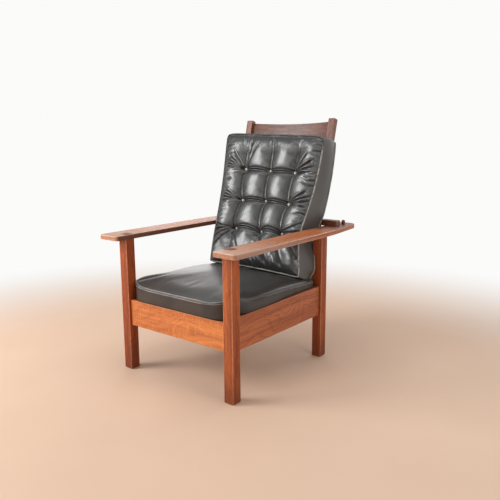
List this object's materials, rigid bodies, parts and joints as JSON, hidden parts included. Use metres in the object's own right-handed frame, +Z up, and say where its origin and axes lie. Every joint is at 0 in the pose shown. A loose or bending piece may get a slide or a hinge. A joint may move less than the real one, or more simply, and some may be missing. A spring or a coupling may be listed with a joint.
{
  "type": "mission reclining armchair",
  "caption": "Oak reclining armchair with flat arms, tilting ladder back on pivot pins, sliding support bar stopped by pegs, and loose black leather seat and tufted back cushions.",
  "frame": {"origin": "on the floor, under the middle of the arms' length and of the chair's width", "axes": "+Z up, the chair faces -Y, +X is the side of the arm on the right of someone looking at its front"},
  "size_m": [0.752, 0.924, 1.0831],
  "materials": {
    "oak": "worn satin varnish",
    "arm_oak": "worn satin varnish, pale at the edges",
    "dark_oak": "satin varnish",
    "seat_softwood": "bare",
    "steel": "dull",
    "seat_leather": "soft gloss",
    "back_leather": "gloss",
    "button_leather": "satin"
  },
  "bodies": {
    "chair_frame": {"leg_front_left": "oak", "leg_front_right": "oak", "leg_rear_left": "oak", "leg_rear_right": "oak", "front_rail": "oak", "rear_rail": "oak", "side_rail_left": "oak", "side_rail_right": "oak", "arm_left": "arm_oak", "arm_right": "arm_oak", "seat_cleat_left": "seat_softwood", "seat_cleat_right": "seat_softwood", "cleat_screws": "steel", "slat_screws": "steel", "pivot_spacer_left": "oak", "pivot_spacer_right": "oak", "seat_cushion": "seat_leather", "seat_slat_1": "seat_softwood", "seat_slat_2": "seat_softwood", "seat_slat_3": "seat_softwood", "seat_slat_4": "seat_softwood", "seat_slat_5": "seat_softwood", "seat_slat_6": "seat_softwood"},
    "back": {"back_post_left": "oak", "back_post_right": "oak", "crest_rail": "dark_oak", "back_bottom_rail": "oak", "back_slat_1": "oak", "back_slat_2": "oak", "back_slat_3": "oak", "pivot_pin_left": "steel", "pivot_pin_right": "steel", "back_cushion": "back_leather", "tuft_buttons": "button_leather"},
    "bar": {"support_bar": "dark_oak"},
    "left_peg": {"peg_left": "dark_oak"},
    "right_peg": {"peg_right": "dark_oak"}
  },
  "joints": [
    {"name": "back_tilt", "type": "hinge", "parent": "chair_frame", "child": "back", "pos_m": [0, 0.228, 0.38], "axis": [-1, 0, 0], "range_deg": [-5, 8.5]},
    {"name": "bar_slide", "type": "slide", "parent": "chair_frame", "child": "bar", "axis": [0, 1, 0], "range_m": [-0.02375, 0.04037]},
    {"name": "left_peg_lift", "type": "slide", "parent": "chair_frame", "child": "left_peg", "axis": [0, 0, 1], "range_m": [0, 0.022]},
    {"name": "right_peg_lift", "type": "slide", "parent": "chair_frame", "child": "right_peg", "axis": [0, 0, 1], "range_m": [0, 0.022]}
  ],
  "couplings": [
    {"joint": "bar_slide", "follows": "back_tilt", "m_per_rad": 0.27204}
  ]
}
